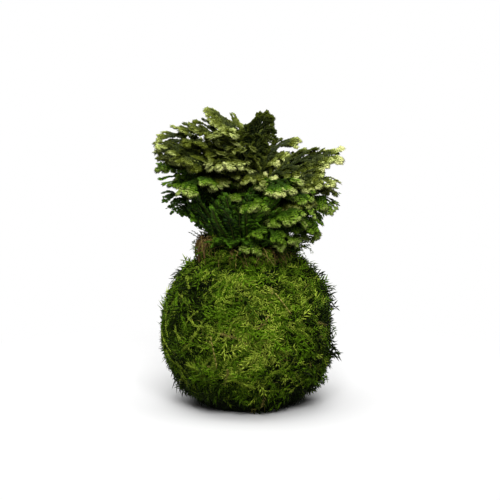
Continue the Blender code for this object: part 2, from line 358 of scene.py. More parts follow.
class Pile:
    """Stamped shapes gathered into one mesh. Tone and hue band are kept on its colour map."""

    def __init__(self):
        self.points, self.faces, self.maps = [], [], []
        self.count = 0

    def press(self, stamp, places, axes, sizes, tones, hue):
        """Press the stamp once for each row of places, axes (3x3) and sizes (3)."""
        number, corners = len(places), len(stamp.points)
        if not number:
            return
        local = stamp.points[None] * np.asarray(sizes, float)[:, None, :]
        world = np.einsum("kmi,kij->kmj", local, axes) + np.asarray(places)[:, None, :]
        tones = np.broadcast_to(tones, number)[:, None]
        hue = np.broadcast_to(hue, number)[:, None]
        u = np.clip(tones + stamp.tint[None], 0.02, 0.98) + EDGE_TONE * (stamp.across[None] - 0.5)
        v = (hue + 0.05 + 0.90 * np.broadcast_to(stamp.along, (number, corners))) / HUES
        offsets = self.count + corners * np.arange(number)
        self.points.append(world.reshape(-1, 3))
        self.faces.append((stamp.faces[None] + offsets[:, None, None]).reshape(-1, 3))
        self.maps.append(np.stack([u, v], axis=-1).reshape(-1, 2))
        self.count += number * corners

    def stalk(self, points, thick, tones, hue):
        """Pegs from point to point."""
        steps = np.diff(points, axis=0)
        lengths = np.linalg.norm(steps, axis=1)
        thick = np.broadcast_to(thick, len(steps))
        up = np.where(np.abs(steps[:, 2:]) > 0.8 * lengths[:, None], (1.0, 0.0, 0.0), (0.0, 0.0, 1.0))
        sizes = np.stack([1.08 * lengths, thick, thick], axis=1)
        self.press(PEG, points[:-1], axes_along(steps, up), sizes, tones, hue)

    def make(self, name, material, nodes=()):
        """Turn the pile into an object that rides on the frame."""
        points = np.concatenate(self.points)
        points[:, 2] = np.maximum(points[:, 2], CAD_LOW.z + 0.0002)
        faces = np.concatenate(self.faces)
        maps = np.concatenate(self.maps)[faces.ravel()]
        mesh = bpy.data.meshes.new(name)
        mesh.vertices.add(len(points))
        mesh.vertices.foreach_set("co", points.astype(np.float32).ravel())
        mesh.loops.add(faces.size)
        mesh.loops.foreach_set("vertex_index", faces.astype(np.int32).ravel())
        mesh.polygons.add(len(faces))
        mesh.polygons.foreach_set("loop_start", np.arange(0, faces.size, 3, dtype=np.int32))
        mesh.update(calc_edges=True)
        layer = mesh.uv_layers.new(name="OFBake")
        layer.uv.foreach_set("vector", maps.astype(np.float32).ravel())
        mesh.validate()
        return add_piece(name, mesh, material, nodes)


def lobe_stamp():
    """The flattened tip of a twig, one long: leaves spread like a hand, the middle ones longest."""
    pile = Pile()
    turns = np.radians(np.linspace(-70.0, 70.0, LOBE_LEAVES))
    lengths = 0.58 + 0.34 * np.cos(turns)
    layer = 0.03 * (np.arange(LOBE_LEAVES) % 2)
    feet = np.stack([0.08 * np.cos(turns), 0.10 * np.sin(turns), layer], axis=1)
    forward = np.stack([np.cos(turns), np.sin(turns), np.full(LOBE_LEAVES, -0.12)], axis=1)
    sizes = lengths[:, None] * (1.0, 0.44, 0.5)
    pile.press(LEAF, feet, axes_along(forward, UP), sizes, 0.0, 0)
    points = np.concatenate(pile.points)
    own = (np.concatenate(pile.maps)[:, 1] * HUES) % 1.0
    reach = np.hypot(points[:, 0], points[:, 1])
    return Stamp(points, np.concatenate(pile.faces), tint=LOBE_FADE * (reach - 0.65), along=own)


LOBE = lobe_stamp()


def add_piece(name, mesh, material, nodes=()):
    """Link a mesh as a piece of the object, with its finish and the nodes it stands for."""
    piece = bpy.data.objects.new(name, mesh)
    bpy.context.scene.collection.objects.link(piece)
    mesh.materials.append(material)
    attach(piece, BODY)
    if nodes:
        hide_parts(*nodes)
    return piece


# ---------------------------------------------------------------- materials

class Value:
    """A number socket of a material. Arithmetic on it adds the Math nodes."""

    def __init__(self, graph, socket):
        self.graph = graph
        self.socket = socket

    def math(self, operation, *others, flip=False):
        operands = [self, *others]
        if flip:
            operands.reverse()
        sockets = dict(enumerate(operands))
        made = self.graph.node("Math", {"operation": operation}, sockets)
        return Value(self.graph, made.outputs[0])

    def __add__(self, other):
        return self.math("ADD", other)

    def __mul__(self, other):
        return self.math("MULTIPLY", other)

    def __sub__(self, other):
        return self.math("SUBTRACT", other)

    def __rsub__(self, other):
        return self.math("SUBTRACT", other, flip=True)

    def __gt__(self, other):
        return self.math("GREATER_THAN", other)

    def fraction(self):
        return self.math("FRACT")

    def clamped(self):
        return self.math("MAXIMUM", 0.0).math("MINIMUM", 1.0)


class Graph:
    """The nodes of one material."""

    def __init__(self, name, settings):
        self.material = bpy.data.materials.new(name)
        self.material.use_nodes = True
        self.tree = self.material.node_tree
        self.shader = self.tree.nodes["Principled BSDF"]
        for socket, value in settings.items():
            self.feed(self.shader.inputs[socket], value)

    def feed(self, socket, value):
        """Set a socket to a number or colour, or link it."""
        if isinstance(value, Value):
            self.tree.links.new(value.socket, socket)
        elif isinstance(value, bpy.types.NodeSocket):
            self.tree.links.new(value, socket)
        else:
            socket.default_value = value

    def node(self, kind, settings=None, sockets=None):
        """Add a node: its settings first, then its sockets."""
        made = self.tree.nodes.new("ShaderNode" + kind)
        for name, value in (settings or {}).items():
            if name == "stops":
                self.set_stops(made.color_ramp.elements, value)
            else:
                setattr(made, name, value)
        for key, value in (sockets or {}).items():
            self.feed(made.inputs[key], value)
        return made

    @staticmethod
    def set_stops(elements, stops):
        while len(elements) < len(stops):
            elements.new(1.0)
        for element, (position, colour) in zip(elements, stops):
            element.position = position
            element.color = (*colour[:3], 1.0)

    def ramp(self, factor, stops):
        return self.node("ValToRGB", {"stops": stops}, {"Fac": factor}).outputs["Color"]

    def mix(self, factor, first, second, blend="MIX"):
        settings = {"data_type": "RGBA", "blend_type": blend}
        made = self.node("Mix", settings, {0: factor, 6: first, 7: second})
        return made.outputs[2]

    def scaled(self, colour, factor):
        sockets = {0: colour, "Scale": factor}
        return self.node("VectorMath", {"operation": "SCALE"}, sockets).outputs["Vector"]

    def place(self):
        """Where a point is on the object."""
        return self.node("TexCoord").outputs["Object"]

    def noise(self, scale, detail=3.0, vector=None, stretch=None):
        """Noise of a size in metres, from 0 to 1."""
        vector = self.place() if vector is None else vector
        if stretch:
            vector = self.node("Mapping", {}, {"Vector": vector, "Scale": stretch}).outputs[0]
        sockets = {"Vector": vector, "Scale": scale, "Detail": detail}
        return Value(self, self.node("TexNoise", {}, sockets).outputs[0])

    def bump(self, height, distance):
        made = self.node("Bump", {}, {"Height": height, "Distance": distance, "Strength": 1.0})
        self.feed(self.shader.inputs["Normal"], made.outputs["Normal"])


def srgb(red, green, blue):
    """A colour given in everyday 0 to 255 numbers, as the linear values that shaders use."""
    def linear(level):
        level /= 255
        return level / 12.92 if level <= 0.04045 else ((level + 0.055) / 1.055) ** 2.4
    return linear(red), linear(green), linear(blue)


def mapped_material(name, runs, settings, base_shade, grain):
    """Leaves and moss: each band of the map has its own run of colours, from deep to pale."""
    graph = Graph(name, settings)
    spot = graph.node("UVMap", {"uv_map": "OFBake"}).outputs["UV"]
    parts = graph.node("SeparateXYZ", {}, {0: spot})
    tone = Value(graph, parts.outputs[0])
    band = Value(graph, parts.outputs[1]) * HUES
    speck = graph.noise(1.0, 2.0, spot, (160.0, 14.0, 1.0)) - 0.5
    mottled = (tone + speck * grain).clamped()
    colour = graph.ramp(mottled, runs[0])
    for index, run in enumerate(runs[1:], start=1):
        colour = graph.mix(band > index, colour, graph.ramp(mottled, run))
    along = band.fraction()
    # painted shade: each leaf, shoot and fibre darkens towards its foot
    shade = along * (1.0 - base_shade) + base_shade
    graph.feed(graph.shader.inputs["Base Color"], graph.scaled(colour, shade))
    roughness = 0.62 - tone * 0.18 + speck * 0.2
    graph.feed(graph.shader.inputs["Roughness"], roughness)
    return graph.material


def run_of(*colours):
    """Ramp stops for colours at even steps."""
    last = len(colours) - 1
    return [(index / last, colour) for index, colour in enumerate(colours)]


def fibrous_material(name, dark, pale, settings, scale, stretch, depth):
    """Stems, peat and roots: two colours in a stretched grain that also raises the surface."""
    graph = Graph(name, settings)
    coarse = graph.noise(scale, 5.0, stretch=stretch)
    fine = graph.noise(scale * 4, 3.0)
    mixed = (coarse * 1.5 + fine * 0.5 - 0.5).clamped()
    graph.feed(graph.shader.inputs["Base Color"], graph.ramp(mixed, run_of(dark, pale)))
    graph.feed(graph.shader.inputs["Roughness"], fine * 0.3 + 0.55)
    graph.bump(mixed, depth)
    return graph.material


# ---------------------------------------------------------------- settings

def colour_property(name, description, default):
    return bpy.props.FloatVectorProperty(
        name=name, description=description, subtype="COLOR", size=3, min=0.0, max=1.0, default=default
    )


def length_property(name, description, default):
    return bpy.props.FloatProperty(
        name=name, description=description, default=default, min=0.0001, unit="LENGTH", precision=4
    )


def power_property(name, description, default):
    return bpy.props.FloatProperty(name=name, description=description, default=default, min=0.0, unit="POWER")


class MossSettings(bpy.types.PropertyGroup):
    """Sizes and colours of the sheet moss."""

    shoots: bpy.props.IntProperty(
        name="Shoots", description="Number of feathery shoots on the ball", default=5600, min=100
    )
    shoot: length_property("Shoot length", "Length of a middling moss shoot", 0.0120)
    needle: length_property("Needle width", "Width of a moss branchlet", 0.00078)
    felt: length_property("Felt depth", "How far the matted layer lies below the tips", 0.0032)
    deep: colour_property("Deep", "Moss deep in the mat", srgb(8, 17, 0))
    green: colour_property("Green", "Moss in full growth", srgb(100, 138, 20))
    gold: colour_property("Gold", "Young, yellowish moss", srgb(176, 208, 60))
    straw: colour_property("Straw", "Dry strands", srgb(170, 158, 82))


class LeafSettings(bpy.types.PropertyGroup):
    """Sizes and colours of the spikemoss."""

    leaf: length_property("Leaf length", "Length of a side leaf", 0.0029)
    pitch: length_property("Leaf pitch", "Distance between leaf pairs along a twig", 0.00125)
    gap: length_property("Twig gap", "Distance between side twigs on a frond", 0.0095)
    deep: colour_property("Deep", "Old leaves in the shade", srgb(8, 30, 2))
    fresh: colour_property("Fresh", "Leaves in full growth", srgb(92, 138, 18))
    young: colour_property("Young", "Leaves just behind the pale tips", srgb(142, 168, 48))
    olive: colour_property("Olive", "Leaves of the upper fronds", srgb(98, 108, 24))
    frost: colour_property("Frost", "Pale tips", srgb(220, 221, 148))
    twig: colour_property("Twig", "Stems and twigs", srgb(84, 92, 40))


class DrySettings(bpy.types.PropertyGroup):
    """Withered stems, fibres, peat and roots."""

    fibres: bpy.props.IntProperty(
        name="Fibres", description="Number of dry fibres in the neck", default=120, min=10
    )
    withered: colour_property("Withered", "Dead stems", srgb(106, 82, 40))
    peat: colour_property("Peat", "Soil core", srgb(52, 36, 22))
    root: colour_property("Root", "Roots in the plug", srgb(122, 96, 62))
    straw: colour_property("Straw", "Dry fibres", srgb(156, 138, 74))


class StageSettings(bpy.types.PropertyGroup):
    """Floor, lights and camera."""

    key: power_property("Key light", "Power of the front light", 19.0)
    top: power_property("Top light", "Power of the overhead light", 30.0)
    fill: bpy.props.FloatProperty(name="Fill", description="Light from all round", default=0.07, min=0.0)
    floor: colour_property("Floor", "Colour of the floor", (0.62, 0.62, 0.62))
    distance: length_property("Distance", "From the camera to the plant", 1.30)
    elevation: bpy.props.FloatProperty(
        name="Elevation", description="Camera height angle", default=math.radians(9.5), subtype="ANGLE"
    )
    view_width: length_property("View width", "Width that the camera takes in at the plant", 0.360)


# ---------------------------------------------------------------- moss

def neck_outline():
    """The rim of the collar, from the ball up and over into the bore."""
    rim = NECK_RADIUS - NECK_BORE
    return [
        (NECK_RADIUS, NECK_FOOT + 0.3 * (NECK_TOP - NECK_FOOT)),
        (NECK_RADIUS - 0.12 * rim, NECK_TOP - 0.3 * rim),
        (NECK_RADIUS - 0.4 * rim, NECK_TOP),
        (NECK_BORE + 0.2 * rim, NECK_TOP),
        (NECK_BORE, NECK_TOP - 0.3 * rim),
    ]


def outer_outline(count):
    """The outside of the moss wrap from its foot to its bore, as (radius, height)."""
    shares = np.linspace(0.0, 1.0, count)
    heights = NECK_FOOT * (shares - 0.14 * np.sin(math.tau * shares) / math.tau * 2)
    ball = np.stack([ball_radius(heights), heights], axis=1)
    return np.concatenate([ball, np.array(neck_outline())])


def moss_felt(settings, material):
    """The matted layer under the shoots: a closed shell with a rough, lumpy outside."""
    outside = outer_outline(FELT_RINGS)
    outside[:, 0] -= np.clip(outside[:, 1] / 0.006, 0.0, 1.0) * settings.felt
    outside[FELT_RINGS + 1 :, 1] -= 0.5 * settings.felt
    heights = np.linspace(NECK_FOOT - MOSS_THICKNESS * 0.5, MOSS_THICKNESS, 14)
    inside = np.stack([ball_radius(heights, MOSS_THICKNESS), heights], axis=1)
    inside[:, 0] = np.where(heights > BORE_FOOT, NECK_BORE, inside[:, 0])
    bm = bmesh.new()
    profile = [(0.0, 0.0), *map(tuple, outside), *map(tuple, inside), (0.0, MOSS_THICKNESS)]
    verts = [bm.verts.new((radius, 0.0, height)) for radius, height in profile]
    edges = [bm.edges.new(pair) for pair in zip(verts, verts[1:])]
    bmesh.ops.spin(
        bm,
        geom=verts + edges,
        cent=(0, 0, 0),
        axis=(0, 0, 1),
        angle=math.tau,
        steps=FELT_STEPS,
        use_merge=True,
    )
    bmesh.ops.remove_doubles(bm, verts=bm.verts, dist=1e-6)
    for vert in bm.verts:
        x, y, z = vert.co
        radius = math.hypot(x, y)
        middle = 0.5 * (ball_radius(z) + ball_radius(z, MOSS_THICKNESS))
        if z < 0.0005 or radius < middle and z < BORE_FOOT:
            continue
        rough = noise.fractal(vert.co / 0.009, 0.8, 2.2, 4)
        grow = (radius + lump_at(x, y, z) + FELT_ROUGH * rough) / radius
        vert.co.x *= grow
        vert.co.y *= grow
    bmesh.ops.recalc_face_normals(bm, faces=bm.faces)
    mesh = bpy.data.meshes.new("moss_felt")
    bm.to_mesh(mesh)
    bm.free()
    mesh.shade_smooth()
    return add_piece("moss_felt", mesh, material, ["moss_wrap"])


def shoot_stamp(rng, side_needles, droop):
    """A feathery moss shoot, one long: a bent stalk with branchlets on both sides."""
    pile = Pile()
    shares = np.linspace(0.0, 1.0, 4)
    bend = rng.uniform(-0.30, 0.30)
    arch = 0.10 * np.sin(math.pi * shares) - droop * shares**2
    path = np.stack([shares, bend * shares**2, arch], axis=1)
    pile.stalk(path, np.array([0.026, 0.021, 0.015]), 0.0, 0)
    spots = np.linspace(0.12, 0.95, side_needles)
    sides = np.where(np.arange(side_needles) % 2, 1.0, -1.0)
    turn = np.radians(rng.uniform(18, 72, side_needles)) * sides * (1.0 - 0.30 * spots)
    rise = rng.uniform(-0.35, 0.75, side_needles)
    forward = np.stack([np.cos(turn), np.sin(turn), rise], axis=1)
    feet = np.stack([np.interp(spots, shares, path[:, axis]) for axis in range(3)], axis=1)
    lengths = rng.uniform(0.26, 0.58, side_needles) * (1.0 - 0.35 * spots)
    sizes = np.stack([lengths, *np.tile(STAMP_NEEDLE, (side_needles, 1)).T], axis=1)
    pile.press(NEEDLE, feet, axes_along(forward, UP), sizes, 0.0, 0)
    ahead = path[-1:] - path[-2:-1]
    pile.press(NEEDLE, path[-1:], axes_along(ahead, UP), np.array([[0.24, *STAMP_NEEDLE]]), 0.0, 0)
    points = np.concatenate(pile.points)
    maps = np.concatenate(pile.maps)
    along = np.clip(0.55 * np.clip(points[:, 0], 0, 1) + 0.45 * np.abs(points[:, 1]) / 0.3, 0.0, 1.0)
    own = (maps[:, 1] * HUES) % 1.0
    across = (maps[:, 0] - maps[:, 0].min()) / np.ptp(maps[:, 0])
    # painted shade towards the shoot's foot and painted light towards its tip
    return Stamp(
        points,
        np.concatenate(pile.faces),
        tint=0.10 * (points[:, 0] - 0.5),
        along=0.6 * along + 0.4 * own,
        across=across,
    )


def surface_spots(count, rng):
    """Places spread evenly over the outside of the moss: point, outward direction, azimuth."""
    outline = outer_outline(120)
    steps = np.diff(outline, axis=0)
    lengths = np.linalg.norm(steps, axis=1)
    areas = lengths * 0.5 * (outline[1:, 0] + outline[:-1, 0])
    total = np.concatenate([[0.0], np.cumsum(areas)])
    shares = (np.arange(count) + rng.uniform(-0.5, 0.5, count)) / count
    where = np.clip(shares, 0.0, 1.0) * total[-1]
    radius = np.interp(where, total, outline[:, 0])
    height = np.interp(where, total, outline[:, 1])
    index = np.clip(np.searchsorted(total, where) - 1, 0, len(steps) - 1)
    slope = unit(steps[index])
    golden = math.pi * (3.0 - math.sqrt(5.0))
    around = golden * np.arange(count) + rng.normal(0.0, 0.05, count)
    out = np.stack([np.cos(around), np.sin(around), np.zeros(count)], axis=1)
    points = out * radius[:, None] + UP * height[:, None]
    points[:, :2] += out[:, :2] * lump_at(*points.T)[:, None]
    normals = unit(out * slope[:, 1:] - UP * slope[:, :1])
    return points, normals, around


def noise_at(points, size, seed):
    """Smooth noise from -1 to 1 at each point."""
    shift = Vector((seed * 7.3, seed * 3.1, seed * 5.7))
    return np.array([noise.noise(Vector(point) / size + shift) for point in points])


def shoot_tones(points, lift, right, spiky, under, rng):
    """Tone and hue band of each shoot: drifts, painted light and shade by lift, the patches of painted light
    and shade in front, and painted shade on the foot, the underside and the left and right edges.
    """
    count = len(points)
    tones = np.full(count, MOSS_TONE)
    for seed, (size, strength) in enumerate(MOSS_DRIFTS, start=2):
        tones += strength * noise_at(points, size, seed)
    # painted light on shoots that rise off the ball, painted shade on those that lie flat
    lift_light_and_shade = 0.6 * (lift - math.radians(15.0))
    tones += rng.normal(0.0, TONE_SPREAD, count) + np.where(spiky, SPIKE_TONE, lift_light_and_shade)
    front = np.clip(-points[:, 1] / 0.02, 0.0, 1.0)
    # painted light in the middle of the front and painted shade at its sides, with darker and paler moss
    # between
    for x, z, wide, high, change in LIGHT_AND_TONE_PATCHES:
        away = ((points[:, 0] - x) / wide) ** 2 + ((points[:, 2] - z) / high) ** 2
        tones += change * np.exp(-away) * front
    # painted shade on the underside and towards the foot of the ball
    tones -= 0.22 * under + 0.40 * np.clip((SHADED_FOOT - points[:, 2]) / SHADED_FOOT, 0.0, 1.0)
    # painted shade towards the ball's left and right sides, deeper at the right
    tones -= lerp(0.12, 0.26, right) * np.clip((np.abs(points[:, 0]) - 0.032) / 0.024, 0.0, 1.0)
    # the gold band follows the tone, painted light and shade included
    golden = 0.35 * noise_at(points, 0.018, 4) + 0.65 * (tones - 0.54) + rng.normal(0.0, 0.16, count)
    dark = noise_at(points, 0.022, 5) + rng.normal(0.0, 0.12, count)
    hue = np.where(golden > 0.06, GOLD, GREEN)
    # painted shade: the underside takes the dark band, as do random dark patches
    hue = np.where((dark > 0.30) | (under > 0.6), DARK, hue)
    return tones, np.where(rng.random(count) < 0.008, STRAW, hue)


def moss_shoots(settings, material):
    """Feathery shoots over the whole ball, in pieces by azimuth."""
    rng = np.random.default_rng(31)
    stamps = [shoot_stamp(rng, 9, droop) for droop in (0.02, 0.06, 0.10, 0.14, 0.05, 0.0)]
    points, normals, around = surface_spots(settings.shoots, rng)
    count = len(points)
    level = unit(np.cross(UP, normals) + 1e-9)
    climb = np.cross(normals, level)
    swirl = math.pi * 1.6 * noise_at(points, 0.016, 1) + rng.normal(0.0, 0.85, count)
    swirl -= math.pi / 2
    heading = level * np.cos(swirl)[:, None] + climb * np.sin(swirl)[:, None]
    lift = np.radians(np.clip(rng.normal(LIFT, LIFT_SPREAD, count), 0.0, 60.0))
    right = np.clip(0.5 + points[:, 0] / 0.10 + 0.3 * noise_at(points, 0.012, 6), 0.0, 1.0)
    lift *= lerp(0.40, 1.0, right)
    spiky = rng.random(count) < lerp(-0.02, 0.15, right)
    lift = np.where(spiky, np.radians(rng.uniform(*SPIKE_LIFT, count)), lift)
    under = np.clip((UNDERSIDE - points[:, 2]) / UNDERSIDE, 0.0, 1.0)
    lift *= 1.0 - 0.8 * under
    forward = heading * np.cos(lift)[:, None] + normals * np.sin(lift)[:, None]
    spin = rng.normal(0.0, 0.35, count)
    side = np.cross(normals, forward)
    tops = unit(normals * np.cos(spin)[:, None] + side * np.sin(spin)[:, None])
    length = settings.shoot * np.exp(rng.normal(0.0, 0.22, count))
    length *= 1.0 - 0.35 * under
    feet = points - normals * settings.felt * rng.uniform(0.5, 1.05, count)[:, None]
    feet -= forward * (0.35 * length)[:, None]
    width = settings.needle / settings.shoot / STAMP_NEEDLE[0] * rng.uniform(0.75, 1.25, count)
    width = np.where(spiky, 1.25 * width, width)
    sizes = np.stack([length, length * width, length * width], axis=1)
    tones, hue = shoot_tones(points, lift, right, spiky, under, rng)
    sizes *= np.where(hue == GOLD, 0.84, 1.0)[:, None]
    kind = rng.integers(0, len(stamps), count)
    sector = np.floor((around % math.tau) / math.tau * MOSS_PIECES).astype(int)
    axes = axes_along(forward, tops)
    for part in range(MOSS_PIECES):
        pile = Pile()
        for number, stamp in enumerate(stamps):
            chosen = (kind == number) & (sector == part)
            pile.press(stamp, feet[chosen], axes[chosen], sizes[chosen], tones[chosen], hue[chosen])
        pile.make(f"moss_shoots_{part + 1}", material)


def moss_strands(material):
    """Long strands that creep over the ball across the shoots, and a few dry stalks."""
    rng = np.random.default_rng(83)
    pile = Pile()
    starts, _, _ = surface_spots(STRANDS, rng)
    points = starts[starts[:, 2] > 0.014]
    count = len(points)
    angle = rng.uniform(0.0, math.tau, count)
    drift = rng.normal(0.0, 0.06, count)
    tone = rng.uniform(0.45, 0.80, count)
    hue = rng.choice([GREEN, GOLD, DARK, STRAW], count, p=[0.42, 0.44, 0.11, 0.03])
    length = rng.integers(9, STRAND_STEPS + 1, count)
    scale = rng.uniform(0.8, 1.2, count)
    trails = [points]
    for _ in range(STRAND_STEPS):
        radius = np.hypot(points[:, 0], points[:, 1])
        below = ball_radius(points[:, 2] - 0.0005)
        above = ball_radius(points[:, 2] + 0.0005)
        out = points * (1.0, 1.0, 0.0) / radius[:, None]
        normals = unit(out + UP * ((below - above) / 0.001)[:, None])
        level = unit(np.cross(UP, normals))
        climb = np.cross(normals, level)
        angle = angle + drift + rng.normal(0.0, 0.10, count)
        move = level * np.cos(angle)[:, None] + climb * np.sin(angle)[:, None]
        points = points + STRAND_PITCH * move
        points[:, 2] = np.clip(points[:, 2], STRAND_LOW, STRAND_HIGH)
        radius = np.hypot(points[:, 0], points[:, 1])
        wanted = ball_radius(points[:, 2]) + lump_at(*points.T) + 0.0006
        points[:, :2] *= (wanted / radius)[:, None]
        trails.append(points)
    trails = np.stack(trails, axis=1)
    for trail, shade, band, stop, size in zip(trails, tone, hue, length, scale):
        ends = np.flatnonzero((trail[1:, 2] <= STRAND_LOW) | (trail[1:, 2] >= STRAND_HIGH))
        path = trail[: min([stop, *ends]) + 1]
        if len(path) < 4:
            continue
        tangents = unit(np.gradient(path, axis=0))
        out = unit(path - (0.0, 0.0, BALL_MIDDLE))
        side = np.cross(out, tangents)
        pile.stalk(path, 0.00026 * size, shade, band)
        for sign in MIRROR:
            forward = tangents + side * sign * rng.uniform(0.35, 0.9, (len(path), 1))
            forward = forward + out * rng.normal(0.10, 0.20, (len(path), 1))
            sizes = np.array([[0.0027, 0.00060, 0.00050]]) * size
            sizes = sizes * rng.uniform(0.6, 1.2, (len(path), 1))
            pile.press(NEEDLE, path, axes_along(forward, out), sizes, shade, band)
    for foot, top in STRAWS:
        share = np.linspace(0.0, 1.0, 7)[:, None]
        path = lerp(np.array(foot), np.array(top), share) + rng.normal(0.0, 0.0003, (7, 2))
        away = ball_radius(path[:, 1]) + STRAW_STAND
        depth = -np.sqrt(away**2 - path[:, 0] ** 2)
        pile.stalk(np.stack([path[:, 0], depth, path[:, 1]], axis=1), 0.00042, 0.95, STRAW)
    pile.make("moss_strands", material)


def thread_piece(material):
    """The binding thread, drawn down into the moss."""
    count = THREAD_TURNS * THREAD_STEPS
    share = np.linspace(0.0, 1.0, count + 1)
    around = math.tau * THREAD_TURNS * share
    height = lerp(THREAD_LOW, THREAD_HIGH, share) + THREAD_TILT * np.sin(around)
    radius = ball_radius(height) - THREAD_SUNK
    path = np.stack([radius * np.cos(around), radius * np.sin(around), height], axis=1)
    pile = Pile()
    pile.stalk(path, THREAD_RADIUS, 0.3, STRAW)
    pile.make("thread", material, ["binding_thread"])


def moss_collar(material):
    """Strands that stand and curl round the neck, shorter at its left and its front."""
    rng = np.random.default_rng(47)
    pile = Pile()
    shares = np.linspace(0.0, 1.0, 7)
    for index in range(COLLAR_STRANDS):
        around = rng.uniform(0.0, math.tau)
        out, side = outward(around)
        at_left = out[0] < -0.55
        at_front = out[1] < -0.30
        if at_left and index % 2:
            continue
        foot = out * rng.uniform(NECK_RADIUS - 0.004, NECK_RADIUS + 0.002)
        foot = foot + (0.0, 0.0, rng.uniform(NECK_FOOT, NECK_TOP - (0.003 if at_front else 0.0)))
        length = rng.uniform(0.006, 0.015) * (0.6 if at_left or at_front else 1.0)
        lean, drift = rng.uniform(0.15, 1.0) + (0.5 if at_front else 0.0), rng.normal(0.0, 0.7)
        curl = rng.uniform(0.0, 2.6) * (0.4 if at_left else 1.0)
        path = [foot]
        for turn in (lean + curl * shares)[1:]:
            move = out * math.sin(turn) + side * drift * 0.5 + UP * math.cos(turn)
            path.append(path[-1] + length / 6 * unit(move))
        path = np.array(path)
        hue = rng.choice([GREEN, GOLD, DARK], p=[0.5, 0.3, 0.2])
        tone = rng.uniform(0.25, 0.6)
        pile.stalk(path, np.linspace(0.00030, 0.00014, 6), tone, hue)
        tangents = unit(np.gradient(path, axis=0))
        for sign in MIRROR:
            forward = tangents + sign * side * 0.8 + rng.normal(0.0, 0.2, (7, 3))
            sizes = np.tile([0.0024, 0.0007, 0.0005], (7, 1)) * rng.uniform(0.7, 1.2, (7, 1))
            pile.press(NEEDLE, path, axes_along(forward, out), sizes, tone + 0.08, hue)
    pile.make("moss_collar", material)


def neck_fibres(settings, material):
    """Dry stalks and fibres round the foot of the plant: a tuft at its left, a mat at its front."""
    rng = np.random.default_rng(59)
    pile = Pile()
    shares = np.linspace(0.0, 1.0, 8)
    for index in range(settings.fibres):
        place, rises, drops, reaches, drift, mix = MAT if index % 2 else TUFT
        out, side = outward(math.radians(rng.normal(*place)))
        start = NECK_RADIUS - rng.uniform(0.000, 0.006)
        rise, drop, reach = rng.uniform(*rises), rng.uniform(*drops), rng.uniform(*reaches)
        drift = rng.normal(0.0, drift)
        away = start + reach * (1.0 - (1.0 - shares) ** 2.4)
        wander = drift * shares + rng.normal(0.0, 0.0007) * np.sin(math.tau * shares)
        path = away[:, None] * out + wander[:, None] * side
        path[:, 2] = NECK_TOP + rise + 0.002 * np.sin(math.pi * shares) - drop * shares**2.2
        thick = rng.uniform(0.00020, 0.00042)
        hue = rng.choice(len(mix), p=mix)
        pile.stalk(path, np.linspace(thick, 0.5 * thick, 7), rng.uniform(0.15, 0.9), hue)
    pile.make("neck_fibres", material)


# ---------------------------------------------------------------- spikemoss

class Blade:
    """The bent surface that the twigs of one frond or side shoot lie on."""

    def __init__(self, azimuth, controls, half, twist=0.0, hang=0.0, phase=0.0):
        shares = np.linspace(0.0, 1.0, 65)
        self.flat = bezier(controls, shares)
        steps = np.linalg.norm(np.diff(self.flat, axis=0), axis=1)
        self.ways = np.concatenate([[0.0], np.cumsum(steps)])
        self.shares = shares
        self.length = self.ways[-1]
        self.half = half
        self.twist = twist
        self.hang = hang
        self.phase = phase
        self.out, self.side = outward(math.radians(azimuth))

    def width(self, along):
        """Half width of the frond at a way along it."""
        return self.half * frond_width(np.interp(along, self.ways, self.shares))

    def inside(self, along, aside):
        return (along < 1.02 * self.length) & (np.abs(aside) < self.width(along) + 0.0012)

    def spot(self, along, aside):
        """Points of the surface."""
        over = np.maximum(along - self.length, 0.0)
        radius = np.interp(along, self.ways, self.flat[:, 0])
        height = np.interp(along, self.ways, self.flat[:, 1])
        end = unit(self.flat[-1] - self.flat[-3])
        radius = radius + over * end[0]
        height = height + over * end[1]
        across = np.clip(aside / np.maximum(self.width(along), 0.004), -1.3, 1.3)
        sag = FROND_CUP * np.abs(across) * np.abs(aside)
        wave = RIPPLE * np.sin(along / 0.006 + 2.0 * across + self.phase)
        past = np.maximum(along - (self.length - HANG_LENGTH), 0.0)
        height = height - sag + wave + self.twist * aside - self.hang * past**2 / HANG_LENGTH
        return radius[:, None] * self.out + aside[:, None] * self.side + height[:, None] * UP

    def normal(self, along, aside):
        """Upward direction of the surface at its points."""
        step = 0.0008
        ahead = self.spot(along + step, aside) - self.spot(along - step, aside)
        left = self.spot(along, aside + step) - self.spot(along, aside - step)
        return unit(np.cross(ahead, left))

    def room(self, along, heading):
        """How far a line can go before it leaves the frond's outline."""
        ways = np.linspace(0.0, 0.05, 51)
        lines = self.inside(along + ways * math.cos(heading), ways * math.sin(heading))
        return ways[np.argmin(lines)] if not lines.all() else ways[-1]


class Look:
    """Colours, leaf size, lobe size, leaf width and unevenness of one spray, the unevenness also painting
    glints.
    """

    def __init__(self, hue, tone, frost, leaf=1.0, lobe=LOBE_SIZE, slim=1.0, speckle_and_glints=0.03):
        self.hue = hue
        self.tone = tone
        self.frost = frost
        self.leaf = leaf
        self.lobe = lobe
        self.slim = slim
        self.speckle_and_glints = speckle_and_glints


def twig_line(start, heading, length, bend, pitch):
    """A slightly curved line over the blade, with a point at every pair of leaves."""
    count = max(int(length / pitch), 2)
    shares = (np.arange(count) + 1.0) / count
    headings = heading + bend * shares
    moves = pitch * np.stack([np.cos(headings), np.sin(headings)], axis=1)
    return np.concatenate([[start], start + np.cumsum(moves, axis=0)])


